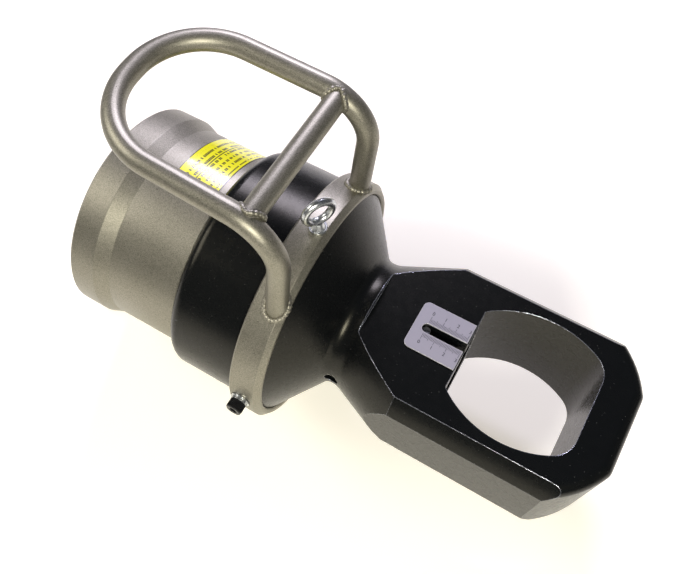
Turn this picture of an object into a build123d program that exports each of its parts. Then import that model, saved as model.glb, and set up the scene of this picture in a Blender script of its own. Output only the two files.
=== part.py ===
"""Hydraulic nut splitter, about 100 tonnes, with a swivel carrying collar.

The tool lies along X, with its head towards +X, and +Z is the side that carries the handle and the
lifting eye. The origin is the centre of the anvil's flat face, on the ram's axis. All sizes are in mm.
"""
import os
from math import cos, radians, sin, tan

from build123d import *

# --- stations along the ram's axis, measured from the anvil's flat face ---
HEAD_END = 30.0
WALL_X = -94.0            # flat wall of the opening that the blade comes out of
FLARE_END = -122.0        # where the flare reaches the head's full radius
FLATS_START = -168.0      # rear end of the two milled flats
NECK_REAR = -180.6
CONE_START = -212.8
COLLAR_FRONT = -211.0
COLLAR_REAR = -237.2
FRAME_REAR = -300.0
BARREL_STEP = -363.7      # front of the short taper behind the barrel's slimmer part
BAND_FRONT = -376.0
BARREL_REAR = -400.0

# --- head frame ---
HALF_THICK = 48.3         # from the axis to either flat
HALF_WIDTH = 68.4
HEAD_R = 75.7             # radius of the bar that the head is turned from
CORNER_X = -43.0          # centre of the arcs that the head's front corners are milled to
CORNER_R = 79.4
CORNER_ROUND = 10.0       # between those arcs and the end face
HEAD_FILLET = 9.0         # rounding of both flats into the front corners and the end face
NECK_R = 54.0
SLEEVE_R = 97.2
SLEEVE_ROUND = 9.0
FLARE_SLOPE = 0.44
OPENING_X = -46.7         # centre of the opening's two side arcs
OPENING_ARC_R = 74.5
OPENING_HALF = 50.8       # half the opening's greatest width
ANVIL_ROUND = 20.0

# --- ram, blade and the bore that they run in ---
RAM_R = 32.0
RUN_GAP = 0.06            # radial clearance of a running fit
LOOSE_GAP = 0.6
BLADE_TIP = -97.0
BLADE_REAR = -155.0
BLADE_HALF_ANGLE = 30.0
TANG_R = 13.0
TANG_LENGTH = 26.0
SLOT_HALF = 3.7
SLOT_END_X = -125.5       # centre of the slot's round end, where the pin rests
PIN_R = 3.2

# --- cylinder ---
BARREL_R = 86.2
BAND_R = 91.0
THREAD_R = 82.0
BORE_R = 64.0
BORE_BOTTOM = -368.0
BARREL_NOSE = -257.0
SHOULDER_X = -256.0       # inner shoulder of the frame, just ahead of the barrel's nose
PISTON_REAR = -366.0
PISTON_FRONT = -334.0
SPRING_POCKET_R = 54.0
SPRING_POCKET_X = -226.0
SPRING_R = 45.0
SPRING_WIRE_R = 5.0
SPRING_TURNS = 6
BUSH_R = 38.0
BUSH_FRONT = -168.5
WIPER_X = -165.0
SCREW_X = -175.0          # set screw in the neck that holds the guide bush

# --- carrying collar, handle and what is on them, before the collar is turned ---
COLLAR_TURN = 3.0         # degrees about the axis that the collar is clamped at
COLLAR_R = 105.0
COLLAR_CHAMFER = 4.0
TUBE_R = 8.0
TUBE_WALL = 2.5
FOOT_X = -219.6
FRONT_X = -214.5          # where the legs and side bars would meet without their bend
REAR_X = -366.0
FRONT_HALF = 59.4
REAR_HALF = 56.5
FRONT_Z = 176.0
REAR_Z = 185.0
FRONT_BEND = 37.0
REAR_BEND = 55.0
CROSS_X = -239.5
CROSS_Z = 175.7           # height of the side bars' centre line at the cross bar
CROSS_HALF = 58.9         # half the distance between the side bars' centre lines there
BEAD = 3.0
EYE_X = -221.0
EYE_RISE = 20.5           # from the collar's surface to the centre of the eye
EYE_MEAN_R = 10.5
EYE_WIRE_R = 3.0
EYE_TURN = -32.0          # degrees about its own shank
LOCK_X = -226.2
LOCK_SEAT = 104.4

# --- scale plate and label ---
PLATE_REAR = -135.8
PLATE_FRONT = -94.8
PLATE_HALF = 19.9
PLATE_THICK = 1.0
LABEL_REAR = -346.3
LABEL_FRONT = -307.6
LABEL_THICK = 0.25
LABEL_FROM = -8.0         # degrees from +Z towards +Y
LABEL_TO = 62.0

# --- oil inlet in the rear face ---
INLET_Z = -45.0
INLET_THREAD_R = 8.5
COUPLER_END = -436.0


def turned(points):
    """Solid of revolution about the X axis from (x, radius) corners."""
    profile = make_face(Polyline(*points, close=True))
    return revolve(profile, Axis.X)


def rod(radius, start, end, y=0.0, z=0.0):
    """Round bar along X between two stations."""
    bar = Solid.make_cylinder(radius, end - start, Plane((start, y, z), z_dir=(1, 0, 0)))
    return Part() + bar


def post(radius, low, high, x=0.0, y=0.0):
    """Round bar along Z between two heights."""
    return Part() + Solid.make_cylinder(radius, high - low, Plane((x, y, low)))


def sleeve(outer, inner, start, end):
    """Tube along X between two stations."""
    return rod(outer, start, end) - rod(inner, start, end)


def turn_collar(shape):
    """Turn a piece that was drawn upright to the angle the collar is clamped at."""
    return shape.rotate(Axis.X, -COLLAR_TURN)


def prism(profile_edges, half_height):
    """Solid with a flat outline in XY, reaching half_height above and below it."""
    outline = make_face(profile_edges)
    return extrude(outline, half_height, both=True)


def frame_envelope():
    """Turned body of the frame: sleeve, bell, neck, flare and the head's round bar."""
    neck_front = FLARE_END - (HEAD_R - NECK_R) / FLARE_SLOPE
    with BuildPart() as body:
        with BuildSketch(Plane.XY):
            with BuildLine():
                Polyline(
                    (HEAD_END, 0),
                    (FRAME_REAR, 0),
                    (FRAME_REAR, SLEEVE_R),
                    (CONE_START, SLEEVE_R),
                    (NECK_REAR, NECK_R),
                    (neck_front, NECK_R),
                    (FLARE_END, HEAD_R),
                    (HEAD_END, HEAD_R),
                    close=True,
                )
            make_face()
            round_corner((FRAME_REAR, SLEEVE_R, 0), SLEEVE_ROUND)
            round_corner((CONE_START, SLEEVE_R, 0), 2.0)
            round_corner((NECK_REAR, NECK_R, 0), 9.0)
            round_corner((neck_front, NECK_R, 0), 20.0)
        revolve(axis=Axis.X)
    return body.part


def round_corner(place, radius):
    """Fillet the corner of the sketch being drawn that lies at a place."""
    fillet(vertices().sort_by_distance(place)[0], radius)


def opening_cutter():
    """Window for the nut: flat blade wall, two long side arcs and a flat anvil with round corners."""
    arc_y = OPENING_ARC_R - OPENING_HALF
    disc = Cylinder(OPENING_ARC_R, 4 * HALF_THICK)
    lens = disc.moved(Pos(OPENING_X, arc_y, 0)) & disc.moved(Pos(OPENING_X, -arc_y, 0))
    span = Box(-WALL_X, 4 * OPENING_HALF, 4 * HALF_THICK).moved(Pos(WALL_X / 2, 0, 0))
    window = lens & span
    anvil_corners = window.edges().filter_by(Axis.Z).group_by(Axis.X)[-1]
    return fillet(anvil_corners, ANVIL_ROUND)


def head_slab():
    """Block that the head is milled to: two flats, two sides, an end face and arcs at its corners."""
    length = HEAD_END - FLATS_START
    block = Box(length, 2 * HALF_WIDTH, 2 * HALF_THICK).moved(Pos(FLATS_START + length / 2, 0, 0))
    rear_length = CORNER_X - FLATS_START
    rear = Box(rear_length, 4 * HALF_WIDTH, 4 * HALF_THICK).moved(Pos(CORNER_X - rear_length / 2, 0, 0))
    disc = Cylinder(CORNER_R, 4 * HALF_THICK).moved(Pos(CORNER_X, 0, 0))
    slab = block & (disc + rear)
    corners = [edge for edge in slab.edges().filter_by(Axis.Z) if edge.center().X > HEAD_END - 1]
    slab = fillet(corners, CORNER_ROUND)
    front = [edge for edge in slab.edges() if edge.center().X > HEAD_END / 4 and lies_in_flat(edge)]
    return fillet(front, HEAD_FILLET)


def lies_in_flat(edge):
    """True for an edge that lies in one of the two flats."""
    return abs(abs(edge.center().Z) - HALF_THICK) < 0.1


def head_frame():
    """One black forging: sleeve that takes the barrel, bell, neck and the flat head with its window."""
    envelope = frame_envelope()
    rear = envelope & rod(2 * SLEEVE_R, FRAME_REAR, FLATS_START)
    head = envelope & head_slab()
    frame = rear + head
    frame -= opening_cutter()
    frame -= rod(THREAD_R + RUN_GAP, FRAME_REAR, SHOULDER_X)
    frame -= rod(SPRING_POCKET_R, SHOULDER_X, SPRING_POCKET_X)
    frame -= rod(BUSH_R, SPRING_POCKET_X, BUSH_FRONT)
    frame -= rod(RAM_R + LOOSE_GAP, BUSH_FRONT, WALL_X + 1)
    frame -= rod(RAM_R + 4, WIPER_X, WIPER_X + 5)
    frame -= sleeve(SLEEVE_R + 1, SLEEVE_R - 4, LOCK_X - 4.5, LOCK_X + 4.5)
    frame -= slot_cutter(HALF_THICK + 5)
    frame -= screw_hole()
    return frame


def slot_cutter(top):
    """Upright cut for the guide pin: round at its rear end and open into the window."""
    length = WALL_X + 5 - SLOT_END_X
    run = Box(length, 2 * SLOT_HALF, top).moved(Pos(SLOT_END_X + length / 2, 0, top / 2))
    return run + post(SLOT_HALF, 0, top, SLOT_END_X)


def screw_hole():
    """Tapped hole in the neck, square to the axis on the -Y side."""
    hole = Solid.make_cylinder(6.0, 2 * NECK_R, Plane((SCREW_X, -BUSH_R + 1, 0), z_dir=(0, -1, 0)))
    return Part() + hole


def neck_screw():
    """Set screw that holds the guide bush, sunk in the neck, with a hexagon socket."""
    screw = Solid.make_cylinder(5.9, 10.0, Plane((SCREW_X, -BUSH_R - 0.1, 0), z_dir=(0, -1, 0)))
    socket = extrude(Plane((SCREW_X, -BUSH_R - 10.1, 0), z_dir=(0, 1, 0)) * RegularPolygon(3.4, 6), 5.0)
    return Part() + screw - socket


def cylinder_barrel():
    """Closed-ended hydraulic barrel with a thicker rear band and a threaded nose."""
    body = turned(
        [
            (BARREL_REAR, 0),
            (BARREL_REAR, BAND_R - 2),
            (BARREL_REAR + 2, BAND_R),
            (BAND_FRONT, BAND_R),
            (BARREL_STEP, BARREL_R),
            (FRAME_REAR - 2.0, BARREL_R),
            (FRAME_REAR - 2.0, THREAD_R),
            (BARREL_NOSE, THREAD_R),
            (BARREL_NOSE, 0),
        ]
    )
    body -= rod(BORE_R, BORE_BOTTOM, BARREL_NOSE)
    body -= rod(INLET_THREAD_R, BARREL_REAR, BARREL_REAR + 14, z=INLET_Z)
    body -= rod(4.0, BARREL_REAR, BORE_BOTTOM, z=INLET_Z)
    return body


def piston():
    """Piston with one seal groove and one wear-ring groove, counterbored for its bolt."""
    body = rod(BORE_R - RUN_GAP, PISTON_REAR, PISTON_FRONT)
    body -= sleeve(BORE_R + 1, BORE_R - 7, PISTON_REAR + 6, PISTON_REAR + 14)
    body -= sleeve(BORE_R + 1, BORE_R - 3, PISTON_REAR + 20, PISTON_REAR + 28)
    body -= rod(22.0, PISTON_FRONT - 14, PISTON_FRONT)
    body -= rod(8.5, PISTON_REAR, PISTON_FRONT)
    body -= rod(14.0, PISTON_REAR, PISTON_REAR + 14)
    return body


def ram_rod():
    """Ram with a spigot for the piston at the rear and a socket for the blade at the front."""
    body = rod(RAM_R, PISTON_FRONT, BLADE_REAR)
    body += rod(22.0 - 0.05, PISTON_FRONT - 14, PISTON_FRONT)
    body -= rod(8.0, PISTON_FRONT - 14, PISTON_FRONT + 20)
    body -= rod(TANG_R, BLADE_REAR - TANG_LENGTH, BLADE_REAR)
    body -= post(5.0, -RAM_R - 1, 0, BLADE_REAR - TANG_LENGTH / 2)
    return body


def piston_bolt():
    """Socket-head bolt that pulls the piston on to the ram."""
    bolt = rod(7.95, PISTON_REAR + 14, PISTON_FRONT + 18)
    bolt += rod(12.0, PISTON_REAR + 2, PISTON_REAR + 14)
    socket = extrude(Plane((PISTON_REAR + 2, 0, 0), z_dir=(1, 0, 0)) * RegularPolygon(8.0, 6), 7.0)
    return bolt - socket


def blade():
    """Chisel with an upright edge, held in the ram by its round tang."""
    rise = tan(radians(BLADE_HALF_ANGLE))
    rear_half = (BLADE_TIP - BLADE_REAR) * rise
    wedge = prism(
        Polyline((BLADE_TIP, 0), (BLADE_REAR, rear_half), (BLADE_REAR, -rear_half), close=True),
        2 * RAM_R,
    )
    body = rod(RAM_R - 0.4, BLADE_REAR, BLADE_TIP) & wedge
    body += rod(TANG_R - 0.05, BLADE_REAR - TANG_LENGTH + 0.5, BLADE_REAR)
    body -= post(PIN_R, RAM_R - 14, RAM_R + 1, SLOT_END_X)
    return body


def blade_screw():
    """Set screw through the ram on to the blade's tang, reached from below."""
    x = BLADE_REAR - TANG_LENGTH / 2
    screw = post(4.9, -RAM_R + 3, -TANG_R - 0.1, x)
    socket = extrude(Plane((x, 0, -RAM_R + 3)) * RegularPolygon(2.9, 6), 4.0)
    return screw - socket


def guide_pin():
    """Pin in the blade that runs in the slot, keeps the edge upright and reads on the scale."""
    pin = post(PIN_R, RAM_R - 14, HALF_THICK - 3.5, SLOT_END_X)
    driver = Box(2 * PIN_R, 1.0, 1.2).moved(Pos(SLOT_END_X, 0, HALF_THICK - 4.1))
    return pin - driver


def return_spring():
    """Compression spring round the ram, from the piston's face to the seat in the bell."""
    start = PISTON_FRONT + SPRING_WIRE_R + 0.2
    length = SPRING_POCKET_X - 4 - SPRING_WIRE_R - 0.2 - start
    coil = Helix(length / SPRING_TURNS, length, SPRING_R)
    wire = sweep(Plane(coil @ 0, z_dir=coil % 0) * Circle(SPRING_WIRE_R), coil, is_frenet=True)
    return wire.rotate(Axis.Y, 90).moved(Pos(start, 0, 0))


def collar_blank():
    """Outside of the collar as a full disc, with its broken rear edge and its front chamfer."""
    return turned(
        [
            (COLLAR_REAR, 0),
            (COLLAR_REAR, COLLAR_R - 1.5),
            (COLLAR_REAR + 1.5, COLLAR_R),
            (COLLAR_FRONT - COLLAR_CHAMFER, COLLAR_R),
            (COLLAR_FRONT, COLLAR_R - COLLAR_CHAMFER),
            (COLLAR_FRONT, 0),
        ]
    )


def collar_bore():
    """Hole in the collar, with a small lead-in at both ends."""
    bore = SLEEVE_R + RUN_GAP
    return turned(
        [
            (COLLAR_REAR, 0),
            (COLLAR_REAR, bore + 1.2),
            (COLLAR_REAR + 1.2, bore),
            (COLLAR_FRONT - 1.2, bore),
            (COLLAR_FRONT, bore + 1.2),
            (COLLAR_FRONT, 0),
        ]
    )


def handle_collar():
    """Ring that swivels on the sleeve, with seats for the eye bolt and the lock screw."""
    ring = collar_blank() - collar_bore()
    ring -= post(4.0, 90, 2 * COLLAR_R, EYE_X)
    ring -= post(7.0, COLLAR_R - 0.3, 2 * COLLAR_R, EYE_X)
    lock = post(4.0, 80, 2 * COLLAR_R) + post(9.0, LOCK_SEAT, 2 * COLLAR_R)
    ring -= at_lock(lock)
    return turn_collar(ring)


def at_lock(upright):
    """Lay a piece that was drawn along +Z on the lock screw's axis, towards -Y."""
    return upright.rotate(Axis.X, 90).moved(Pos(LOCK_X, 0, 0))


def lock_screw():
    """M8 socket-head screw whose point runs in the sleeve's groove and clamps the collar."""
    seat = LOCK_SEAT + 3.6
    screw = post(6.5, seat, seat + 8) + post(3.95, SLEEVE_R + 0.6, seat)
    screw += post(2.8, SLEEVE_R - 3.4, SLEEVE_R + 0.6)
    socket = extrude(Plane((0, 0, seat + 4)) * RegularPolygon(3.45, 6), 4.0)
    return turn_collar(at_lock(screw - socket))


def lock_washer():
    """Plain washer under the lock screw."""
    return turn_collar(at_lock(post(8.0, LOCK_SEAT, LOCK_SEAT + 1.6) - post(4.2, 90, 120)))


def lock_spring_washer():
    """Split spring washer between the plain washer and the screw's head."""
    ring = post(6.8, LOCK_SEAT + 1.6, LOCK_SEAT + 3.6) - post(4.2, 90, 120)
    gap = Box(4, 1.0, 6).moved(Pos(5.5, 0, LOCK_SEAT + 2.6))
    return turn_collar(at_lock(ring - gap))


def eye_bolt():
    """Lifting eye: ring, neck, flange and a short threaded shank."""
    centre = COLLAR_R + EYE_RISE
    eye = Torus(EYE_MEAN_R, EYE_WIRE_R).rotate(Axis.Y, 90).moved(Pos(0, 0, centre))
    stem = Part() + Solid.make_cone(5.4, 3.2, 5.0, Plane((0, 0, COLLAR_R + 2.7)))
    flange = post(6.6, COLLAR_R - 0.3, COLLAR_R + 2.7)
    shank = post(3.95, COLLAR_R - 6.5, COLLAR_R - 0.3)
    bolt = eye + stem + flange + shank
    bolt = bolt.rotate(Axis.Z, EYE_TURN).moved(Pos(EYE_X, 0, 0))
    return turn_collar(bolt)


def handle_path():
    """Centre line of the loop: up one leg, back along a side bar, round the rear and back."""
    return FilletPolyline(
        (FOOT_X, -FRONT_HALF, 70),
        (FRONT_X, -FRONT_HALF, FRONT_Z),
        (REAR_X, -REAR_HALF, REAR_Z),
        (REAR_X, REAR_HALF, REAR_Z),
        (FRONT_X, FRONT_HALF, FRONT_Z),
        (FOOT_X, FRONT_HALF, 70),
        radius=[FRONT_BEND, REAR_BEND, REAR_BEND, FRONT_BEND],
    )


def handle_bar(radius):
    """Round bar of the given radius along the loop, cut off where it meets the collar."""
    path = handle_path()
    bar = sweep(Plane(path @ 0, z_dir=path % 0) * Circle(radius), path)
    return Part() + bar - collar_blank()


def cross_bar_solid(radius, from_y, to_y):
    """Round bar along Y at the cross bar's place."""
    start = Plane((CROSS_X, from_y, CROSS_Z), z_dir=(0, 1, 0))
    return Part() + Solid.make_cylinder(radius, to_y - from_y, start)


def handle_tube(outer):
    """Bent tube of the carrying handle."""
    return turn_collar(outer - handle_bar(TUBE_R - TUBE_WALL))


def handle_cross_bar(outer):
    """Tube between the side bars, coped to fit against them."""
    bar = cross_bar_solid(TUBE_R, -CROSS_HALF, CROSS_HALF) - outer
    bar -= cross_bar_solid(TUBE_R - TUBE_WALL, -CROSS_HALF, CROSS_HALF)
    pieces = bar.solids().sort_by(SortBy.VOLUME)
    return turn_collar(Part() + pieces[-1])


def handle_welds(outer):
    """Four fillet beads: one round each foot and one round each end of the cross bar."""
    skin = sleeve(COLLAR_R + BEAD, COLLAR_R, COLLAR_REAR, COLLAR_FRONT - COLLAR_CHAMFER)
    side_face = CROSS_HALF - TUBE_R - 0.25
    beads = []
    for side in (-1, 1):
        foot = post(TUBE_R + BEAD, 60, 120, FOOT_X, side * FRONT_HALF) & skin
        beads += (foot - outer).solids().sort_by(SortBy.VOLUME)[-1:]
        against = Plane((CROSS_X, side * side_face, CROSS_Z), z_dir=(0, -side, 0))
        cone = Solid.make_cone(TUBE_R + BEAD, TUBE_R + 0.4, BEAD + 1, against)
        beads += (Part() + cone - cross_bar_solid(TUBE_R, -side_face - 1, side_face + 1)).solids()
    return turn_collar(Part() + beads)


def scale_plate():
    """Thin plate beside the slot, flush with the window's edge, round at its rear corners."""
    blank = Box(PLATE_FRONT - PLATE_REAR, 2 * PLATE_HALF, PLATE_THICK)
    blank = blank.moved(Pos((PLATE_FRONT + PLATE_REAR) / 2, 0, HALF_THICK + PLATE_THICK / 2))
    plate = fillet(blank.edges().filter_by(Axis.Z).group_by(Axis.X)[0], 4.5)
    return plate - slot_cutter(HALF_THICK + 5)


def barrel_label():
    """Foil label that wraps over the barrel between two angles."""
    band = sleeve(BARREL_R + LABEL_THICK, BARREL_R, LABEL_REAR, LABEL_FRONT)
    reach = 3 * BARREL_R
    start = radians(LABEL_FROM)
    end = radians(LABEL_TO)
    sector = Polyline(
        (0, 0),
        (reach * sin(start), reach * cos(start)),
        (reach * sin(end), reach * cos(end)),
        close=True,
    )
    plane = Plane((LABEL_REAR - 5, 0, 0), x_dir=(0, 1, 0), z_dir=(1, 0, 0))
    wedge = extrude(plane * make_face(sector), LABEL_FRONT - LABEL_REAR + 10)
    return band & wedge


def coupler_body():
    """Female half of a screw-type oil coupling, screwed into the rear face."""
    body = rod(INLET_THREAD_R - 0.05, BARREL_REAR, BARREL_REAR + 12, z=INLET_Z)
    hexagon = Plane((BARREL_REAR - 10, 0, INLET_Z), z_dir=(1, 0, 0)) * RegularPolygon(14.0, 6)
    body += extrude(hexagon, 10.0)
    body += rod(11.0, COUPLER_END + 2, BARREL_REAR - 10, z=INLET_Z)
    body -= rod(6.0, COUPLER_END + 4, BARREL_REAR + 2, z=INLET_Z)
    body -= rod(3.0, COUPLER_END, BARREL_REAR + 12, z=INLET_Z)
    return body


def coupler_collar():
    """Threaded sleeve that spins on the coupling and pulls the hose's half home."""
    sleeve_body = rod(15.0, COUPLER_END, COUPLER_END + 22, z=INLET_Z)
    return sleeve_body - rod(11.3, COUPLER_END - 1, COUPLER_END + 23, z=INLET_Z)


def coupler_poppet():
    """Check-valve poppet that shuts the coupling when no hose is on."""
    return rod(5.7, COUPLER_END + 4.1, COUPLER_END + 10, z=INLET_Z) + rod(
        2.7, COUPLER_END + 0.5, COUPLER_END + 4.1, z=INLET_Z
    )


def poppet_spring():
    """Small spring behind the poppet."""
    start = COUPLER_END + 10.8
    length = BARREL_REAR + 1.2 - start
    coil = Helix(length / 7, length, 4.6)
    wire = sweep(Plane(coil @ 0, z_dir=coil % 0) * Circle(0.6), coil, is_frenet=True)
    return wire.rotate(Axis.Y, 90).moved(Pos(start, 0, INLET_Z))


def dust_cap():
    """Plastic cap pushed over the coupling's collar."""
    cap = rod(18.0, COUPLER_END - 4, COUPLER_END + 16, z=INLET_Z)
    return cap - rod(15.3, COUPLER_END - 1.5, COUPLER_END + 17, z=INLET_Z)


def build():
    """Every piece of the tool, by node name."""
    outer = handle_bar(TUBE_R)
    groove_bottom = BORE_R - 7 + 0.1
    return {
        "head_frame": head_frame(),
        "neck_screw": neck_screw(),
        "scale_plate": scale_plate(),
        "guide_bush": sleeve(BUSH_R - 0.05, RAM_R + RUN_GAP, SPRING_POCKET_X, BUSH_FRONT),
        "rod_wiper": sleeve(RAM_R + 3.9, RAM_R + 0.4, WIPER_X + 0.2, WIPER_X + 4.8),
        "spring_seat": sleeve(SPRING_POCKET_R - 1, RAM_R + 2, SPRING_POCKET_X - 4, SPRING_POCKET_X),
        "cylinder_barrel": cylinder_barrel(),
        "barrel_label": barrel_label(),
        "return_spring": return_spring(),
        "piston": piston(),
        "piston_seal": sleeve(BORE_R - 0.05, groove_bottom, PISTON_REAR + 6.1, PISTON_REAR + 10.9),
        "piston_backup_ring": sleeve(BORE_R - 0.1, groove_bottom, PISTON_REAR + 11, PISTON_REAR + 13.9),
        "piston_wear_ring": sleeve(BORE_R - 0.05, BORE_R - 2.9, PISTON_REAR + 20.1, PISTON_REAR + 27.9),
        "ram_rod": ram_rod(),
        "piston_bolt": piston_bolt(),
        "blade": blade(),
        "blade_screw": blade_screw(),
        "guide_pin": guide_pin(),
        "handle_collar": handle_collar(),
        "lock_screw": lock_screw(),
        "lock_washer": lock_washer(),
        "lock_spring_washer": lock_spring_washer(),
        "eye_bolt": eye_bolt(),
        "handle_tube": handle_tube(outer),
        "handle_cross_bar": handle_cross_bar(outer),
        "handle_welds": handle_welds(outer),
        "coupler_body": coupler_body(),
        "coupler_collar": coupler_collar(),
        "coupler_poppet": coupler_poppet(),
        "poppet_spring": poppet_spring(),
        "dust_cap": dust_cap(),
    }


def main():
    """Write one STEP file for each piece."""
    os.makedirs("parts", exist_ok=True)
    for name, shape in build().items():
        export_step(shape, f"parts/{name}.step")


main()
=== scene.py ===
"""Looks of a hydraulic nut splitter: finishes for its machined pieces, weld beads, knurled and ribbed
pieces, the marks of its travel scale, and a plain studio to see it in.

Everything is in metres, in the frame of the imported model: +X runs along the ram towards the head's tip,
and +Z is square to the head's flats, on the side of the carrying handle.
"""
from math import cos, pi, radians, sin

import bpy
import numpy as np
from bpy.props import FloatProperty, FloatVectorProperty, IntProperty, PointerProperty
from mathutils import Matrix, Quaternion, Vector


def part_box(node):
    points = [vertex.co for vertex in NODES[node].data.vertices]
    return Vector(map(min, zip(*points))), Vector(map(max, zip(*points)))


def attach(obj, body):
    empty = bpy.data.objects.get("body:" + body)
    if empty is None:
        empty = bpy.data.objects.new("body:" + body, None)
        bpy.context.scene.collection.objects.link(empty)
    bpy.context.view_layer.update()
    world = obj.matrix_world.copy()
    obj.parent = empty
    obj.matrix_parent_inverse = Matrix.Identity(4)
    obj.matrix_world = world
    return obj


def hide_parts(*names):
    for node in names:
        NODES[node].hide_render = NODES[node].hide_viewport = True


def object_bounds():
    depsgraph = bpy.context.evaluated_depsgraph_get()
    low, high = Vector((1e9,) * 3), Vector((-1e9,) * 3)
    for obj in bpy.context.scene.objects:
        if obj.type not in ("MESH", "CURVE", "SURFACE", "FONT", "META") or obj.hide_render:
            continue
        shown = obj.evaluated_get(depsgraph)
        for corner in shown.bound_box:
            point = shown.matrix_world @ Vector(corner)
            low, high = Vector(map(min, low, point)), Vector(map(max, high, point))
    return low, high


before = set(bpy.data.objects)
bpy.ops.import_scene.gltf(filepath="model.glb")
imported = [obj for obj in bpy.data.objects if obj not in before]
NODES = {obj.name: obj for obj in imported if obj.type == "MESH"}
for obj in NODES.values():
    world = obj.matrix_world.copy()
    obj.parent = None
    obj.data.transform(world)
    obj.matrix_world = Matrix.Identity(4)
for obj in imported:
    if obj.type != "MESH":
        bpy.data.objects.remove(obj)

bl_info = {
    "name": "Nut splitter",
    "version": (1, 0, 0),
    "blender": (4, 5, 0),
    "location": "View3D > Sidebar > Splitter",
    "description": "Finishes and fine pieces of a hydraulic nut splitter",
    "category": "Object",
}

MM = 0.001
SHARP_ANGLE = radians(38)       # edges of a made piece that turn more than this stay sharp
NUMBERS = range(4)              # centimetres that the travel scale is numbered with
LAST_NUMBER_NUDGE = 0.4 * MM    # the last number stands clear of the plate's edge
FONT_BODY = 1.38                # font size that gives figures one unit high

SPECK_CORE = 0.3                # radius of a speck as a share of its cell

# weld beads: points along one and round it, how often it ripples and by what share of its radius,
# and its slow swells as (times round the bead, share of its radius, where the swell starts)
BEAD_POINTS = 240
BEAD_SIDES = 20
RIPPLES = 22
RIPPLE = 0.10
WANDER = ((3, 0.07, 1.0), (7, 0.05, 0.0))

# rows and columns of the label's print: a row is a share of its length, a column an angle
LABEL_ROWS = 7.0
LABEL_COLUMN = radians(1.15)
LABEL_PRINT = (radians(-5.0), radians(57.0))
LABEL_RULE = 0.43               # where the long line runs, as a share of the label's length

# the studio: reach of the floor, the pool of light on it (its middle, where it starts to fade and
# where it ends, its strength), and the point that the lights face
FLOOR_REACH = 6.0
POOL_X = -0.2
POOL_FADE = (0.45, 1.3)
POOL_STRENGTH = 0.38
LIT_POINT = (-0.17, 0.0, 0.0)

# each light's name, place, size and tint
LIGHTS = (
    ("key", (-0.62, 0.95, 0.88), (0.55, 0.4), (0.80, 0.77, 1.0)),
    ("fill", (0.26, -0.77, 0.82), (0.4, 0.4), (1.0, 0.97, 0.88)),
    ("rear", (-1.30, -0.45, 0.95), (0.8, 0.6), (1.0, 0.96, 0.90)),
)

# colours of the surroundings and how high each is seen, from 0 at the horizon to 1 overhead
SURROUNDINGS = (
    (0.0, (0.07, 0.07, 0.07)),
    (0.35, (0.16, 0.16, 0.17)),
    (0.8, (0.06, 0.065, 0.085)),
)
SURROUNDINGS_STRENGTH = 0.9

CAD_BOX = [list(corner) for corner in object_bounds()]


def length(name, text, default):
    """A size in metres for a property group."""
    return FloatProperty(name=name, description=text, default=default, unit="LENGTH", precision=5)


def colour(name, text, default):
    """A colour for a property group."""
    return FloatVectorProperty(
        name=name, description=text, default=default, size=3, subtype="COLOR", min=0, max=1
    )


class SplitterSizes(bpy.types.PropertyGroup):
    """Sizes of the fine pieces, which follow the machined ones."""

    collar_turn: FloatProperty(
        name="Collar turn", description="Angle that the collar is clamped at",
        default=radians(3.0), subtype="ANGLE",
    )
    collar_radius: length("Collar radius", "Outside radius of the carrying collar", 105.0 * MM)
    tube_radius: length("Tube radius", "Outside radius of the handle's tube", 8.0 * MM)
    foot_x: length("Foot", "Station of the handle's feet along the ram's axis", -219.6 * MM)
    foot_half: length("Foot spacing", "Half the distance between the feet", 59.4 * MM)
    cross_x: length("Cross bar", "Station of the cross bar along the ram's axis", -239.5 * MM)
    cross_z: length("Cross bar height", "Height of the cross bar's axis", 175.7 * MM)
    cross_half: length("Side bars", "Half the distance between the side bars", 58.9 * MM)
    bead: length("Weld bead", "Radius of a weld bead's section", 2.3 * MM)
    lock_x: length("Lock screw", "Station of the lock screw along the ram's axis", -226.2 * MM)
    lock_seat: length("Lock screw head", "Radius at which the screw's head starts", 108.0 * MM)
    lock_head: length("Lock head radius", "Radius of the screw's head", 6.5 * MM)
    lock_height: length("Lock head height", "Height of the screw's head", 8.0 * MM)
    lock_socket: length("Lock socket", "Half the width across the flats of the socket", 3.0 * MM)
    inlet_z: length("Inlet height", "Height of the oil coupling's axis", -45.0 * MM)
    cap_radius: length("Cap radius", "Outside radius of the dust cap", 18.0 * MM)
    cap_bore: length("Cap bore", "Inside radius of the dust cap", 15.3 * MM)
    ring_radius: length("Sleeve radius", "Outside radius of the coupling's sleeve", 15.0 * MM)
    ring_bore: length("Sleeve bore", "Inside radius of the coupling's sleeve", 11.3 * MM)
    scale_zero: length("Scale zero", "Station of the travel scale's zero", -126.1 * MM)
    scale_row: length("Scale row", "Distance of each row of numbers from the axis", 12.6 * MM)
    scale_digit: length("Scale number", "Height of the numbers on the scale", 2.9 * MM)
    scale_inner: length("Scale marks", "Distance of the marks' inner ends from the axis", 4.6 * MM)
    scale_mark: length("Mark width", "Width of a mark on the scale", 0.26 * MM)
    ink: length("Ink", "Thickness of the engraving's paint", 0.04 * MM)


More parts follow.
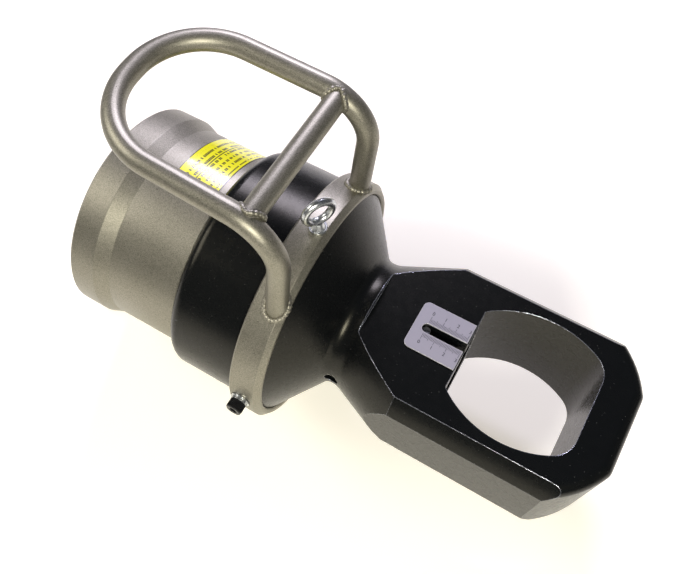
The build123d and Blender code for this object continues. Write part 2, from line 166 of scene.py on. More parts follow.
class SplitterFinishes(bpy.types.PropertyGroup):
    """Colours of the finishes."""

    black: colour("Black coat", "Coat of the head and bell", (0.0030, 0.0036, 0.0040))
    sheen: colour("Black sheen", "Warm tint of the black coat's reflections", (1.0, 0.94, 0.74))
    bronze: colour("Bronze paint", "Metallic paint of the barrel, collar and handle", (0.36, 0.34, 0.275))
    bronze_dark: colour("Bronze grain", "Dark grain in the metallic paint", (0.125, 0.118, 0.080))
    # lighter colour for every sharp edge of the paint: partly rubbed paint, partly a painted edge
    # highlight
    bronze_edge: colour("Bronze edge", "Edges where the paint is rubbed bright", (0.62, 0.58, 0.50))
    dust: colour("Dust", "Specks on the black coat", (0.07, 0.07, 0.065))
    # pale colour for the head's sharp edges: partly rubbed bare metal, partly a painted edge highlight
    # standing in for the thin lines of light along them
    worn: colour("Worn edge", "Metal that shows where the coat is rubbed off", (0.62, 0.64, 0.72))
    zinc: colour("Zinc", "Plating of the eye and the washers", (0.66, 0.68, 0.68))
    oxide: colour("Oxide", "Blackened steel of the screws", (0.016, 0.016, 0.017))
    plate: colour("Scale plate", "Plate of the travel scale", (0.33, 0.315, 0.355))
    plate_edge: colour("Plate edge", "Rubbed edges of the scale's plate", (0.93, 0.92, 0.84))
    ink: colour("Ink", "Marks and print", (0.012, 0.012, 0.012))
    foil: colour("Foil", "Ground of the label", (0.88, 0.84, 0.015))
    steel: colour("Steel", "Bare machined steel", (0.40, 0.40, 0.41))
    chrome: colour("Chrome", "Plating of the ram", (0.72, 0.73, 0.75))
    bearing: colour("Bearing bronze", "Bush that guides the ram", (0.58, 0.38, 0.16))
    rubber: colour("Rubber", "Seals", (0.012, 0.012, 0.012))
    cream: colour("Seal plastic", "Back-up and wear rings", (0.72, 0.68, 0.56))
    cap: colour("Cap plastic", "Dust cap", (0.022, 0.022, 0.024))
    glow: colour("Floor glow", "Light that the floor round the tool gives of its own", (1.0, 0.90, 0.64))
    floor: colour("Floor", "Floor and surroundings", (0.93, 0.925, 0.90))


class SplitterStudio(bpy.types.PropertyGroup):
    """Camera and lights."""

    place: FloatVectorProperty(
        name="Camera", description="Where the camera stands", size=3, subtype="XYZ",
        unit="LENGTH", default=(-0.0767, -0.2382, 0.5894),
    )
    aim: FloatVectorProperty(
        name="Aim", description="Point on the ram's plane that the camera looks at", size=3,
        subtype="XYZ", unit="LENGTH", default=(-0.2482, 0.0091, 0.0),
    )
    roll: FloatProperty(
        name="Roll", description="Turn of the camera about its own axis",
        default=radians(-4.26), subtype="ANGLE",
    )
    lens: FloatProperty(name="Lens", description="Focal length in millimetres", default=41.06)
    shift_x: FloatProperty(name="Shift X", description="Sideways lens shift", default=0.079)
    shift_y: FloatProperty(name="Shift Y", description="Upward lens shift", default=-0.0177)
    key: FloatProperty(name="Key light", description="Power of the key light", default=15.0)
    fill: FloatProperty(name="Fill light", description="Power of the fill light", default=12.0)
    rear: FloatProperty(name="Rear light", description="Power of the light behind the barrel", default=9.0)
    ticks: IntProperty(name="Scale steps", description="Millimetre steps on the travel scale", default=31)


class Field:
    """A value that varies over a surface. Its operators add Math nodes."""

    def __init__(self, finish, socket):
        self.finish = finish
        self.socket = socket

    def maths(self, operation, *values):
        """Add a Math node on the values and wrap what it gives."""
        made = self.finish.node("ShaderNodeMath", {"operation": operation}, dict(enumerate(values)))
        return Field(self.finish, made.outputs[0])

    def __add__(self, other):
        return self.maths("ADD", self, other)

    __radd__ = __add__

    def __sub__(self, other):
        return self.maths("SUBTRACT", self, other)

    def __rsub__(self, other):
        return self.maths("SUBTRACT", other, self)

    def __mul__(self, other):
        return self.maths("MULTIPLY", self, other)

    __rmul__ = __mul__

    def __truediv__(self, other):
        return self.maths("DIVIDE", self, other)

    def __mod__(self, other):
        return self.maths("FLOORED_MODULO", self, other)

    def __lt__(self, other):
        return self.maths("LESS_THAN", self, other)

    def __gt__(self, other):
        return self.maths("GREATER_THAN", self, other)

    def __abs__(self):
        return self.maths("ABSOLUTE", self)

    def floor(self):
        """The whole number below."""
        return self.maths("FLOOR", self)

    def root(self):
        """The square root."""
        return self.maths("SQRT", self)

    def angle_from(self, other):
        """Angle of the point (other, self) from the first axis, in radians."""
        return self.maths("ARCTAN2", self, other)

    def rising(self, low, high):
        """0 below low, 1 above high, and straight in between."""
        settings = {"clamp": True}
        inputs = {"Value": self, "From Min": low, "From Max": high}
        return Field(self.finish, self.finish.node("ShaderNodeMapRange", settings, inputs).outputs[0])


class Finish:
    """Material of one finish, with short ways to add nodes to it."""

    def __init__(self, name):
        self.material = bpy.data.materials.new(name)
        self.material.use_nodes = True
        self.tree = self.material.node_tree
        self.shader = self.tree.nodes["Principled BSDF"]
        self.place = self.node("ShaderNodeTexCoord").outputs["Object"]

    def node(self, kind, settings=None, inputs=None):
        """Add a node, set its settings first, and then give its inputs values or links."""
        made = self.tree.nodes.new(kind)
        for name, value in (settings or {}).items():
            setattr(made, name, value)
        for name, value in (inputs or {}).items():
            self.feed(made.inputs[name], value)
        return made

    def feed(self, socket, value):
        """Give an input a field, another node's output, a colour or a number."""
        if isinstance(value, Field):
            self.tree.links.new(value.socket, socket)
        elif isinstance(value, bpy.types.NodeSocket):
            self.tree.links.new(value, socket)
        elif hasattr(value, "__len__") and len(value) == 3 and len(socket.default_value) == 4:
            socket.default_value = (*value, 1.0)
        else:
            socket.default_value = value

    def set(self, **values):
        """Give the shader's own sockets values or links."""
        for name, value in values.items():
            self.feed(self.shader.inputs[name.replace("_", " ")], value)

    def noise(self, scale, detail=2.0, stretch=(1, 1, 1)):
        """Soft noise from 0 to 1, with scale cells to the metre."""
        mapping = self.node("ShaderNodeMapping", None, {"Vector": self.place, "Scale": stretch})
        inputs = {"Vector": mapping.outputs[0], "Scale": scale, "Detail": detail}
        return Field(self, self.node("ShaderNodeTexNoise", None, inputs).outputs["Fac"])

    def cells(self, size):
        """Random values from 0 to 1 for each cell of a size in metres, and the way to its middle."""
        inputs = {"Vector": self.place, "Scale": 1.0 / size}
        cell = self.node("ShaderNodeTexVoronoi", None, inputs)
        parts = self.node("ShaderNodeSeparateColor", None, {0: cell.outputs["Color"]})
        return [Field(self, part) for part in parts.outputs], Field(self, cell.outputs["Distance"])

    def grains(self, size):
        """A random value from 0 to 1 for each grain of a size."""
        return self.cells(size)[0][0]

    def specks(self, size, share):
        """1 on a share of round specks of a size, and 0 between them."""
        values, away = self.cells(size)
        return (values[1] > 1.0 - share) * (away < SPECK_CORE)

    def xyz(self):
        """The three object coordinates as fields."""
        parts = self.node("ShaderNodeSeparateXYZ", None, {0: self.place})
        return [Field(self, socket) for socket in parts.outputs]

    def mixed(self, amount, first, second):
        """Colour that goes from first to second as amount goes from 0 to 1."""
        settings = {"data_type": "RGBA", "clamp_factor": True}
        made = self.node("ShaderNodeMix", settings, {0: amount})
        self.feed(made.inputs[6], first)
        self.feed(made.inputs[7], second)
        return made.outputs[2]

    def bump(self, height, depth, normal=None):
        """Normal for a height field from 0 to 1 and a depth in metres."""
        inputs = {"Height": height, "Distance": depth, "Strength": 1.0}
        if normal is not None:
            inputs["Normal"] = normal
        return self.node("ShaderNodeBump", None, inputs).outputs[0]

    def rounded(self, radius):
        """Normal of the surface with its sharp edges rounded."""
        return self.node("ShaderNodeBevel", {"samples": 6}, {"Radius": radius}).outputs[0]

    def edges(self, normal, low, high):
        """1 on sharp edges, where the rounded normal leaves the true one, and 0 elsewhere."""
        true = self.node("ShaderNodeNewGeometry").outputs["True Normal"]
        inputs = {0: normal, 1: true}
        same = self.node("ShaderNodeVectorMath", {"operation": "DOT_PRODUCT"}, inputs)
        return (1 - Field(self, same.outputs["Value"])).rising(low, high)


def dress(finish, *names):
    """Give CAD nodes or pieces a finish in place of their own material."""
    for name in names:
        mesh = NODES[name].data if name in NODES else bpy.data.objects[name].data
        mesh.materials.clear()
        mesh.materials.append(finish.material)


def shade(tint, factor):
    """A colour made darker by a factor below 1, or lighter by one above it."""
    return [min(1.0, part * factor) for part in tint]


def black_coat(colours):
    """Satin black coat with fine grain, a few light specks, and thin pale edges that are partly rubbed
    bare metal and partly a painted highlight.
    """
    coat = Finish("black_coat")
    round_normal = coat.rounded(radius=0.7 * MM)
    patches = coat.noise(scale=35.0, detail=3.0)
    rubbed = coat.noise(scale=190.0, detail=3.0).rising(0.30, 0.50)
    # edge mask: paints rubbed metal together with a painted edge highlight on the sharp edges
    edge = coat.edges(round_normal, low=0.01, high=0.07) * rubbed
    film = coat.noise(scale=160.0, detail=4.0)
    grain = coat.noise(scale=2600.0)
    ground = coat.mixed(patches, colours.black, shade(colours.black, 1.35))
    spotted = coat.mixed(coat.specks(size=0.8 * MM, share=0.010), ground, colours.dust)
    coat.set(
        Base_Color=coat.mixed(edge, spotted, colours.worn),
        Metallic=edge * 0.8,
        Roughness=0.22 + 0.10 * film - 0.05 * edge,
        Normal=coat.bump(grain, depth=0.02 * MM, normal=round_normal),
        IOR=1.33,
        Specular_Tint=colours.sheen,
    )
    return coat


def bronze_paint(colours):
    """Metallic paint: warm grey flakes over a darker ground, slightly rough to the touch."""
    paint = Finish("bronze_paint")
    round_normal = paint.rounded(radius=0.6 * MM)
    flakes = paint.grains(size=0.38 * MM)
    cloud = paint.noise(scale=28.0, detail=3.0)
    edge = paint.edges(round_normal, low=0.03, high=0.2)
    amount = (0.20 + 0.75 * flakes + 0.25 * cloud).rising(0.1, 1.05)
    flaked = paint.mixed(amount, colours.bronze_dark, colours.bronze)
    pits = paint.specks(size=1.1 * MM, share=0.012)
    ground = paint.mixed(pits, flaked, shade(colours.bronze_dark, 0.5))
    paint.set(
        # sharp edges lightened everywhere alike: rubbed paint together with a painted edge highlight
        Base_Color=paint.mixed(edge * 0.5, ground, colours.bronze_edge),
        Metallic=0.82,
        Roughness=0.38 + 0.14 * flakes - 0.06 * edge,
        Normal=paint.bump(paint.noise(scale=1500.0), depth=0.035 * MM, normal=round_normal),
    )
    return paint


def plated(name, tint, roughness, metallic=1.0):
    """Plated or bare metal with a faint mottle and fine handling marks."""
    metal = Finish(name)
    mottle = metal.noise(scale=420.0, detail=3.0).rising(0.3, 0.7)
    scratches = metal.noise(scale=900.0, detail=4.0, stretch=(1.0, 9.0, 1.0))
    round_normal = metal.rounded(radius=0.3 * MM)
    metal.set(
        Base_Color=metal.mixed(mottle, shade(tint, 0.72), shade(tint, 1.15)),
        Metallic=metallic,
        Roughness=roughness + 0.16 * scratches,
        Normal=metal.bump(scratches, depth=0.012 * MM, normal=round_normal),
    )
    return metal


def moulded(name, tint, roughness):
    """Moulded plastic or rubber with a fine grain."""
    plastic = Finish(name)
    grain = plastic.noise(scale=1900.0, detail=3.0)
    round_normal = plastic.rounded(radius=0.3 * MM)
    plastic.set(
        Base_Color=plastic.mixed(grain, shade(tint, 0.8), shade(tint, 1.25)),
        Roughness=roughness + 0.12 * grain,
        Normal=plastic.bump(grain, depth=0.03 * MM, normal=round_normal),
    )
    return plastic


def ground_steel(colours):
    """Hardened steel with the fine straight lines of a grinding wheel across it."""
    steel = Finish("ground_steel")
    lines = steel.noise(scale=1400.0, detail=3.0, stretch=(1.0, 1.0, 0.05))
    round_normal = steel.rounded(radius=0.3 * MM)
    steel.set(
        Base_Color=steel.mixed(lines, shade(colours.steel, 0.7), colours.steel),
        Metallic=1.0,
        Roughness=0.28 + 0.2 * lines,
        Normal=steel.bump(lines, depth=0.01 * MM, normal=round_normal),
    )
    return steel


def plate_finish(colours):
    """Matt anodised plate, rubbed bright along its edges."""
    plate = Finish("scale_plate_finish")
    round_normal = plate.rounded(radius=0.45 * MM)
    edge = plate.edges(round_normal, low=0.01, high=0.08)
    rub = plate.noise(scale=700.0, detail=3.0, stretch=(1.0, 6.0, 1.0))
    ground = plate.mixed(rub, shade(colours.plate, 0.93), shade(colours.plate, 1.07))
    plate.set(
        Base_Color=plate.mixed(edge, ground, colours.plate_edge),
        Metallic=0.25,
        Roughness=0.50 + 0.12 * rub - 0.2 * edge,
        Normal=plate.bump(rub, depth=0.006 * MM, normal=round_normal),
    )
    return plate


def foil_finish(colours, box):
    """Glossy yellow foil with rows of short dark bars and one line, all running round the barrel.

    The label is a grid of rows along the barrel and columns round it. A cell holds a bar when its own
    random value is high enough.
    """
    foil = Finish("label_foil")
    x, y, z = foil.xyz()
    low, high = box
    along = (x - low.x) / (high.x - low.x)
    angle = y.angle_from(z)
    rows = along * LABEL_ROWS
    columns = angle / LABEL_COLUMN
    cell = foil.node("ShaderNodeCombineXYZ", None, {0: rows.floor(), 1: columns.floor()})
    value = foil.node("ShaderNodeTexWhiteNoise", {"noise_dimensions": "2D"}, {"Vector": cell.outputs[0]})
    inked = Field(foil, value.outputs["Value"]) > 0.28
    bar = (columns % 1.0 > 0.2) * (rows % 1.0 > 0.3) * (rows % 1.0 < 0.72)
    round_way = (angle > LABEL_PRINT[0]) * (angle < LABEL_PRINT[1])
    margin = (along > 0.1) * (along < 0.93)
    rule = abs(along - LABEL_RULE) < 0.012
    border = (along < 0.018) + (along > 0.982)
    printed = (bar * inked * margin * round_way + rule * round_way + border).rising(0.0, 1.0)
    wrinkle = foil.noise(scale=130.0)
    foil.set(
        Base_Color=foil.mixed(printed * 0.93, colours.foil, colours.ink),
        Roughness=0.17 + 0.1 * wrinkle,
        Coat_Weight=0.3,
        Normal=foil.bump(wrinkle, depth=0.12 * MM),
    )
    return foil


def make_piece(name, grid, finish, body, wrap_rows=False):
    """Closed mesh from a grid of points whose columns run round it.

    The rows either join up as a ring (wrap_rows), or each end row is closed by a fan to its middle.
    """
    rows, columns, _ = grid.shape
    points = grid.reshape(-1, 3)
    turns = rows if wrap_rows else rows - 1
    first = (np.arange(turns)[:, None] % rows) * columns
    second = (np.arange(1, turns + 1)[:, None] % rows) * columns
    here = np.arange(columns)[None, :]
    there = (here + 1) % columns
    quads = np.stack([first + here, first + there, second + there, second + here], axis=-1)
    faces = quads.reshape(-1, 4).tolist()
    if not wrap_rows:
        ends = np.array([grid[0].mean(axis=0), grid[-1].mean(axis=0)])
        points = np.vstack([points, ends])
        start, end = rows * columns, rows * columns + 1
        last = (rows - 1) * columns
        faces += np.stack([here[0] * 0 + start, there[0], here[0]], axis=-1).tolist()
        faces += np.stack([here[0] * 0 + end, last + here[0], last + there[0]], axis=-1).tolist()
    if enclosed_volume(points, faces) < 0:
        faces = [face[::-1] for face in faces]
    return add_mesh(name, points, faces, finish, body)


def enclosed_volume(points, faces):
    """Volume inside a closed mesh, negative if its faces are inside out.

    It is the sum of the tetrahedra from the origin to each face, cut into triangles.
    """
    fans = [(face[0], face[i], face[i + 1]) for face in faces for i in range(1, len(face) - 1)]
    corners = points[np.array(fans)]
    crossed = np.cross(corners[:, 1], corners[:, 2])
    return float(np.einsum("ij,ij->", corners[:, 0], crossed)) / 6


def add_mesh(name, points, faces, finish, body):
    """Make an object from points and faces, shade it smooth between sharp edges, and let it ride."""
    mesh = bpy.data.meshes.new(name)
    mesh.from_pydata(points.tolist(), [], faces)
    mesh.validate()
    mesh.shade_smooth()
    mesh.set_sharp_from_angle(angle=SHARP_ANGLE)
    mesh.materials.append(finish.material)
    piece = bpy.data.objects.new(name, mesh)
    bpy.context.scene.collection.objects.link(piece)
    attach(piece, body)
    return piece


def with_collar(points, sizes):
    """Turn points about the ram's axis to the angle that the collar is clamped at."""
    turn = sizes.collar_turn
    x, y, z = points[..., 0], points[..., 1], points[..., 2]
    return np.stack([x, y * cos(turn) + z * sin(turn), z * cos(turn) - y * sin(turn)], axis=-1)


def bead_along(curve, radius, ripples):
    """Closed bead round a closed curve: circles square to it, whose radius ripples and slowly wanders."""
    along = np.roll(curve, -1, axis=0) - np.roll(curve, 1, axis=0)
    along /= np.linalg.norm(along, axis=1)[:, None]
    outward = curve - curve.mean(axis=0)
    across = np.cross(along, outward)
    across /= np.linalg.norm(across, axis=1)[:, None]
    outward = np.cross(across, along)
    way = np.linspace(0, 2 * pi, len(curve), endpoint=False)
    uneven = RIPPLE * np.sin(ripples * way)
    for times, share, start in WANDER:
        uneven = uneven + share * np.sin(times * way + start)
    swell = radius * (1 + uneven)[:, None, None]
    turn = np.linspace(0, 2 * pi, BEAD_SIDES, endpoint=False)[None, :, None]
    ring = outward[:, None, :] * np.cos(turn) + across[:, None, :] * np.sin(turn)
    return curve[:, None, :] + swell * ring


def foot_curve(sizes, side):
    """Where a leg of the handle meets the collar: x and y run round the tube, z is on the collar."""
    way = np.linspace(0, 2 * pi, BEAD_POINTS, endpoint=False)
    reach = sizes.tube_radius + 0.3 * sizes.bead
    x = sizes.foot_x + reach * np.cos(way)
    y = side * sizes.foot_half + reach * np.sin(way)
    z = np.sqrt(sizes.collar_radius**2 - y**2) + 0.15 * sizes.bead
    return np.stack([x, y, z], axis=-1)


def cross_curve(sizes, side):
    """Where the cross bar meets a side bar: two equal tubes cross, with the corner between them eased."""
    way = np.linspace(0, 2 * pi, BEAD_POINTS, endpoint=False)
    reach = sizes.tube_radius + 0.2 * sizes.bead
    x = sizes.cross_x + reach * np.cos(way)
    z = sizes.cross_z + reach * np.sin(way)
    hollow = np.sqrt(np.cos(way) ** 2 + 0.06)
    y = side * (sizes.cross_half - sizes.tube_radius * hollow)
    return np.stack([x, y, z], axis=-1)


class SPLITTER_OT_finish_castings(bpy.types.Operator):
    """Coat the frame black and paint the barrel, collar and handle"""

    bl_idname = "splitter.finish_castings"
    bl_label = "Coat frame and barrel"

    def execute(self, context):
        colours = context.scene.splitter_finishes
        dress(black_coat(colours), "head_frame")
        dress(bronze_paint(colours), "cylinder_barrel", "handle_collar", "handle_tube", "handle_cross_bar")
        return {"FINISHED"}


class SPLITTER_OT_finish_fittings(bpy.types.Operator):
    """Finish the screws, washers, eye, coupling and scale plate"""

    bl_idname = "splitter.finish_fittings"
    bl_label = "Finish fittings"

    def execute(self, context):
        colours = context.scene.splitter_finishes
        zinc = plated("zinc_plating", colours.zinc, 0.20)
        dress(zinc, "eye_bolt", "lock_washer", "lock_spring_washer", "coupler_body")
        oxide = plated("black_oxide", colours.oxide, 0.34, 0.4)
        dress(oxide, "neck_screw", "blade_screw", "piston_bolt")
        dress(plate_finish(colours), "scale_plate")
        return {"FINISHED"}


class SPLITTER_OT_finish_inner(bpy.types.Operator):
    """Finish the pieces that work inside"""

    bl_idname = "splitter.finish_inner"
    bl_label = "Finish inner pieces"

    def execute(self, context):
        colours = context.scene.splitter_finishes
        dress(ground_steel(colours), "blade", "guide_pin")
        dress(plated("machined_steel", colours.steel, 0.30), "piston", "spring_seat", "coupler_poppet")
        dress(plated("hard_chrome", colours.chrome, 0.10), "ram_rod")
        dark_steel = shade(colours.steel, 0.4)
        dress(plated("spring_steel", dark_steel, 0.30), "return_spring", "poppet_spring")
        dress(plated("bearing_bronze", colours.bearing, 0.28), "guide_bush")
        dress(moulded("seal_rubber", colours.rubber, 0.5), "piston_seal", "rod_wiper")
        dress(moulded("seal_plastic", colours.cream, 0.42), "piston_backup_ring", "piston_wear_ring")
        return {"FINISHED"}


class SPLITTER_OT_lay_label(bpy.types.Operator):
    """Print the barrel's foil label"""

    bl_idname = "splitter.lay_label"
    bl_label = "Lay label"

    def execute(self, context):
        dress(foil_finish(context.scene.splitter_finishes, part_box("barrel_label")), "barrel_label")
        return {"FINISHED"}


class SPLITTER_OT_run_welds(bpy.types.Operator):
    """Run the weld beads at the handle's feet and at the ends of its cross bar"""

    bl_idname = "splitter.run_welds"
    bl_label = "Run welds"

    def execute(self, context):
        sizes = context.scene.splitter_sizes
        paint = bronze_paint(context.scene.splitter_finishes)
        for side, word in ((-1, "near"), (1, "far")):
            for place, curve, bead in (
                ("foot", foot_curve(sizes, side), sizes.bead),
                ("cross_bar", cross_curve(sizes, side), 0.8 * sizes.bead),
            ):
                grid = with_collar(bead_along(curve, bead, RIPPLES), sizes)
                piece = make_piece(f"weld_{place}_{word}", grid, paint, "collar", True)
                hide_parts("handle_welds")
        return {"FINISHED"}


def rings_at(points, knurl=0, six=0):
    """Rings (height, radius, share of knurl depth, share of hexagon) from heights and radii."""
    return [(height, radius, knurl, six) for height, radius in points]


def screw_rings(sizes):
    """Rings of a socket screw's head: neck, knurled side, rounded top edge and hexagon socket."""
    head, top = sizes.lock_head, sizes.lock_height
    across = sizes.lock_socket
    edge = 0.7 * MM
    neck = 4 * MM
    seat = [(-4 * MM, neck), (0, neck), (0, head - 0.5 * MM)]
    side = [(0.5 * MM, head)] + [(height, head) for height in np.linspace(0.9 * MM, top - 1.5 * MM, 4)]
    crown = [(top - edge, head), (top, head - edge), (top, across + 1.1 * MM)]
    socket = [(top - 0.25 * MM, across), (top - 3.8 * MM, across), (top - 4.4 * MM, 0.5 * MM)]
    fading = rings_at([(top - 1.2 * MM, head)], knurl=0.3)
    return rings_at(seat) + rings_at(side, knurl=1) + fading + rings_at(crown) + rings_at(socket, six=1)


def turned_grid(rings, teeth, depth, columns):
    """Rings about +Z: a radius is a circle, a toothed circle or a hexagon of that half width."""
    way = np.linspace(0, 2 * pi, columns, endpoint=False)
    tooth = np.abs(((way * teeth / (2 * pi)) % 1.0) - 0.5) * 2
    hexagon = 1 / np.cos((way % (pi / 3)) - pi / 6)
    rows = []
    for height, radius, knurl, six in rings:
        reach = radius * ((1 - six) + six * hexagon) - depth * knurl * tooth
        rows.append(np.stack([reach * np.cos(way), reach * np.sin(way), way * 0 + height], axis=-1))
    return np.array(rows)


class SPLITTER_OT_cut_lock_screw(bpy.types.Operator):
    """Turn and knurl the socket screw that clamps the collar"""

    bl_idname = "splitter.cut_lock_screw"
    bl_label = "Cut lock screw"

    def execute(self, context):
        sizes = context.scene.splitter_sizes
        oxide = plated("lock_screw_oxide", context.scene.splitter_finishes.oxide, 0.30, 0.5)
        upright = turned_grid(screw_rings(sizes), 40, 0.45 * MM, 240)
        laid = np.stack([
            upright[..., 0] + sizes.lock_x,
            -(upright[..., 2] + sizes.lock_seat),
            upright[..., 1],
        ], axis=-1)
        piece = make_piece("lock_screw_knurled", with_collar(laid, sizes), oxide, "collar")
        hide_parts("lock_screw")
        return {"FINISHED"}


def cap_rings(sizes, deep):
    """Rings of a dust cap open at its far end, with grip ribs round its side."""
    outside, inside = sizes.cap_radius, sizes.cap_bore
    middle, wall, edge = 2 * MM, 2.5 * MM, 0.5 * MM
    crown = [(0, middle), (0, outside - 3 * MM), (0.6 * MM, outside - 1.4 * MM)]
    shoulder = [(2.4 * MM, outside - 0.2 * MM)]
    side = [(3.6 * MM, outside), (deep - 4 * MM, outside)]
    lip = [(deep - 3 * MM, outside), (deep - edge, outside), (deep, outside - edge)]
    hollow = [(deep, inside + 0.4 * MM), (deep - edge, inside), (wall, inside), (wall, middle)]
    return rings_at(crown + shoulder) + rings_at(side, knurl=1) + rings_at(lip + hollow)


def ring_rings(sizes, wide):
    """Rings of the coupling's spinning sleeve: a tube with a knurled band."""
    outside, inside = sizes.ring_radius, sizes.ring_bore
    edge = 0.6 * MM
    front = [(0, inside), (0, outside - edge), (edge, outside), (wide - 10 * MM, outside)]
    band = [(wide - 9.4 * MM, outside), (wide - 2 * MM, outside)]
    rear = [(wide - 1.4 * MM, outside), (wide - edge, outside), (wide, outside - edge), (wide, inside)]
    return rings_at(front) + rings_at(band, knurl=1) + rings_at(rear)


def along_inlet(upright, start, sizes):
    """Lay rings that were worked out about +Z along the oil coupling's axis."""
    return np.stack([
        upright[..., 2] + start, upright[..., 0], upright[..., 1] + sizes.inlet_z,
    ], axis=-1)


class SPLITTER_OT_mould_coupling(bpy.types.Operator):
    """Mould the ribbed dust cap and knurl the coupling's collar"""

    bl_idname = "splitter.mould_coupling"
    bl_label = "Finish coupling"

    def execute(self, context):
        sizes = context.scene.splitter_sizes
        colours = context.scene.splitter_finishes
        low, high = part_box("dust_cap")
        ribbed = turned_grid(cap_rings(sizes, high.x - low.x), 30, 0.6 * MM, 360)
        plastic = moulded("cap_plastic", colours.cap, 0.42)
        cap = make_piece(
            "dust_cap_ribbed", along_inlet(ribbed, low.x, sizes), plastic, "cap"
        )
        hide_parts("dust_cap")
        low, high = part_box("coupler_collar")
        knurled = turned_grid(ring_rings(sizes, high.x - low.x), 48, 0.5 * MM, 384)
        grid = along_inlet(knurled, low.x, sizes)
        zinc = plated("coupling_zinc", colours.zinc, 0.24)
        ring = make_piece("coupler_collar_knurled", grid, zinc, "coupler_ring", True)
        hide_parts("coupler_collar")
        return {"FINISHED"}


def flat_bar(x, y, length_y, width, low, high):
    """Corners and faces of a thin upright-sided bar that marks the scale."""
    half, reach = width / 2, length_y / 2
    around = ((-1, -1), (1, -1), (1, 1), (-1, 1))
    corners = [(x + sx * half, y + sy * reach, z) for z in (low, high) for sx, sy in around]
    faces = [[3, 2, 1, 0], [4, 5, 6, 7], [0, 1, 5, 4], [1, 2, 6, 5], [2, 3, 7, 6], [3, 0, 4, 7]]
    return np.array(corners), faces


def mark_length(step):
    """Length of the scale's mark at a millimetre: longest at tens, middling at fives."""
    if step % 10 == 0:
        return 5.4 * MM
    return 4.3 * MM if step % 5 == 0 else 3.2 * MM


def number_mesh(text, height, thick):
    """Points and faces of a number in the plain built-in font, centred on the origin."""
    curve = bpy.data.curves.new("number", "FONT")
    curve.body = text
    curve.size = height * FONT_BODY
    curve.align_x = "CENTER"
    curve.align_y = "CENTER"
    curve.extrude = thick / 2
    holder = bpy.data.objects.new("number", curve)
    mesh = bpy.data.meshes.new_from_object(holder)
    points = np.zeros(len(mesh.vertices) * 3)
    mesh.vertices.foreach_get("co", points)
    faces = [list(face.vertices) for face in mesh.polygons]
    bpy.data.objects.remove(holder)
    bpy.data.curves.remove(curve)
    bpy.data.meshes.remove(mesh)
    return points.reshape(-1, 3), faces


class SPLITTER_OT_mark_scale(bpy.types.Operator):
    """Mark the millimetres and the numbers on the travel scale"""

    bl_idname = "splitter.mark_scale"
    bl_label = "Mark scale"

    def execute(self, context):
        sizes = context.scene.splitter_sizes
        colours = context.scene.splitter_finishes
        low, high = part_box("scale_plate")
        base = high.z - sizes.ink / 2
        top = high.z + sizes.ink
        parts = []
        for step in range(context.scene.splitter_studio.ticks):
            x = sizes.scale_zero + step * MM
            tall = mark_length(step)
            for side in (-1, 1):
                middle = side * (sizes.scale_inner + tall / 2)
                parts.append(flat_bar(x, middle, tall, sizes.scale_mark, base, top))
        for number in NUMBERS:
            points, faces = number_mesh(str(number), sizes.scale_digit, top - base)
            nudge = LAST_NUMBER_NUDGE if number == NUMBERS[-1] else 0.0
            for side in (-1, 1):
                x = sizes.scale_zero + number * 10 * MM - nudge
                shift = np.array([x, side * sizes.scale_row, (base + top) / 2])
                parts.append((points + shift, faces))
        offsets = np.cumsum([0] + [len(points) for points, _ in parts])
        points = np.vstack([points for points, _ in parts])
        faces = [[int(v + shift) for v in face] for (_, fs), shift in zip(parts, offsets) for face in fs]
        ink = moulded("scale_ink", colours.ink, 0.5)
        add_mesh("scale_marks", points, faces, ink, "frame")
        return {"FINISHED"}


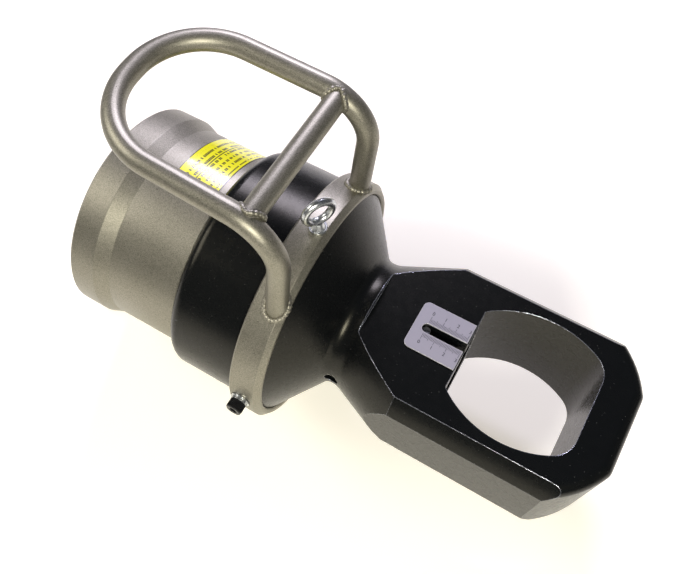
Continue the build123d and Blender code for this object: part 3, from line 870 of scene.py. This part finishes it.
class SPLITTER_OT_set_stage(bpy.types.Operator):
    """Lay the floor, hang the lights and set up the camera"""

    bl_idname = "splitter.set_stage"
    bl_label = "Set stage"

    def execute(self, context):
        studio = context.scene.splitter_studio
        colours = context.scene.splitter_finishes
        self.lay_floor(colours)
        self.hang_lights(studio)
        self.set_camera(context, studio)
        self.light_room(context)
        context.scene.view_settings.view_transform = "Standard"
        return {"FINISHED"}

    def lay_floor(self, colours):
        """A wide pale disc under the tool, with a soft pool of light round it."""
        way = np.linspace(0, 2 * pi, 96, endpoint=False)
        level = CAD_BOX[0][2] - 0.2 * MM
        points = np.stack([
            FLOOR_REACH * np.cos(way), FLOOR_REACH * np.sin(way), way * 0 + level,
        ], axis=-1)
        mesh = bpy.data.meshes.new("floor")
        mesh.from_pydata(points.tolist(), [], [list(range(len(way)))])
        finish = Finish("floor_paper")
        cloud = finish.noise(scale=3.0)
        x, y, _ = finish.xyz()
        off_centre = x - POOL_X
        away = (off_centre * off_centre + y * y).root()
        pool = 1 - away.rising(*POOL_FADE)
        finish.set(
            Base_Color=finish.mixed(cloud, colours.floor, shade(colours.floor, 0.985)),
            Roughness=0.9,
            Emission_Color=finish.mixed(pool, (0.0, 0.0, 0.0), colours.glow),
            Emission_Strength=POOL_STRENGTH,
        )
        mesh.materials.append(finish.material)
        floor = bpy.data.objects.new("floor", mesh)
        bpy.context.scene.collection.objects.link(floor)

    def hang_lights(self, studio):
        """Soft rectangles that all face the tool's middle."""
        middle = Vector(LIT_POINT)
        powers = {"key": studio.key, "fill": studio.fill, "rear": studio.rear}
        for name, place, size, tint in LIGHTS:
            light = bpy.data.lights.new(name, "AREA")
            light.shape = "RECTANGLE"
            light.size, light.size_y = size
            light.energy = powers[name]
            light.color = tint
            lamp = bpy.data.objects.new(name, light)
            lamp.location = place
            lamp.rotation_euler = (middle - Vector(place)).to_track_quat("-Z", "Y").to_euler()
            bpy.context.scene.collection.objects.link(lamp)

    def set_camera(self, context, studio):
        """Camera at its place, turned to its aim and rolled."""
        camera = bpy.data.cameras.new("camera")
        camera.lens = studio.lens
        camera.shift_x = studio.shift_x
        camera.shift_y = studio.shift_y
        camera.clip_start = 0.01
        holder = bpy.data.objects.new("camera", camera)
        holder.location = studio.place
        look = Vector(studio.aim) - Vector(studio.place)
        turn = look.to_track_quat("-Z", "Y") @ Quaternion((0, 0, 1), studio.roll)
        holder.rotation_euler = turn.to_euler()
        context.scene.collection.objects.link(holder)
        context.scene.camera = holder

    def light_room(self, context):
        """Dim surroundings, palest part of the way up."""
        world = bpy.data.worlds.new("room")
        world.use_nodes = True
        context.scene.world = world
        tree = world.node_tree
        way = tree.nodes.new("ShaderNodeTexCoord")
        parts = tree.nodes.new("ShaderNodeSeparateXYZ")
        ramp = tree.nodes.new("ShaderNodeValToRGB")
        tree.links.new(way.outputs["Generated"], parts.inputs[0])
        tree.links.new(parts.outputs[2], ramp.inputs[0])
        stops = ramp.color_ramp.elements
        stops.remove(stops[-1])
        for place, tint in SURROUNDINGS:
            stop = stops[0] if place == 0.0 else stops.new(place)
            stop.color = (*tint, 1.0)
        background = tree.nodes["Background"]
        background.inputs["Strength"].default_value = SURROUNDINGS_STRENGTH
        tree.links.new(ramp.outputs[0], background.inputs["Color"])


class SPLITTER_PT_pieces(bpy.types.Panel):
    """Buttons and sizes of the nut splitter"""

    bl_idname = "SPLITTER_PT_pieces"
    bl_label = "Nut splitter"
    bl_space_type = "VIEW_3D"
    bl_region_type = "UI"
    bl_category = "Splitter"

    def draw(self, context):
        for operator in OPERATORS:
            self.layout.operator(operator.bl_idname)
        for group in (context.scene.splitter_sizes, context.scene.splitter_finishes):
            box = self.layout.box()
            for name in group.__annotations__:
                box.prop(group, name)


OPERATORS = (
    SPLITTER_OT_set_stage,
    SPLITTER_OT_finish_castings,
    SPLITTER_OT_finish_fittings,
    SPLITTER_OT_finish_inner,
    SPLITTER_OT_lay_label,
    SPLITTER_OT_run_welds,
    SPLITTER_OT_cut_lock_screw,
    SPLITTER_OT_mould_coupling,
    SPLITTER_OT_mark_scale,
)
GROUPS = {
    "splitter_sizes": SplitterSizes,
    "splitter_finishes": SplitterFinishes,
    "splitter_studio": SplitterStudio,
}


def register():
    for group in GROUPS.values():
        bpy.utils.register_class(group)
    for name, group in GROUPS.items():
        setattr(bpy.types.Scene, name, PointerProperty(type=group))
    for operator in OPERATORS:
        bpy.utils.register_class(operator)
    bpy.utils.register_class(SPLITTER_PT_pieces)


def unregister():
    bpy.utils.unregister_class(SPLITTER_PT_pieces)
    for operator in reversed(OPERATORS):
        bpy.utils.unregister_class(operator)
    for name in GROUPS:
        delattr(bpy.types.Scene, name)
    for group in GROUPS.values():
        bpy.utils.unregister_class(group)


def main():
    register()
    for operator in OPERATORS:
        group, name = operator.bl_idname.split(".")
        getattr(getattr(bpy.ops, group), name)()


if __name__ == "__main__":
    main()
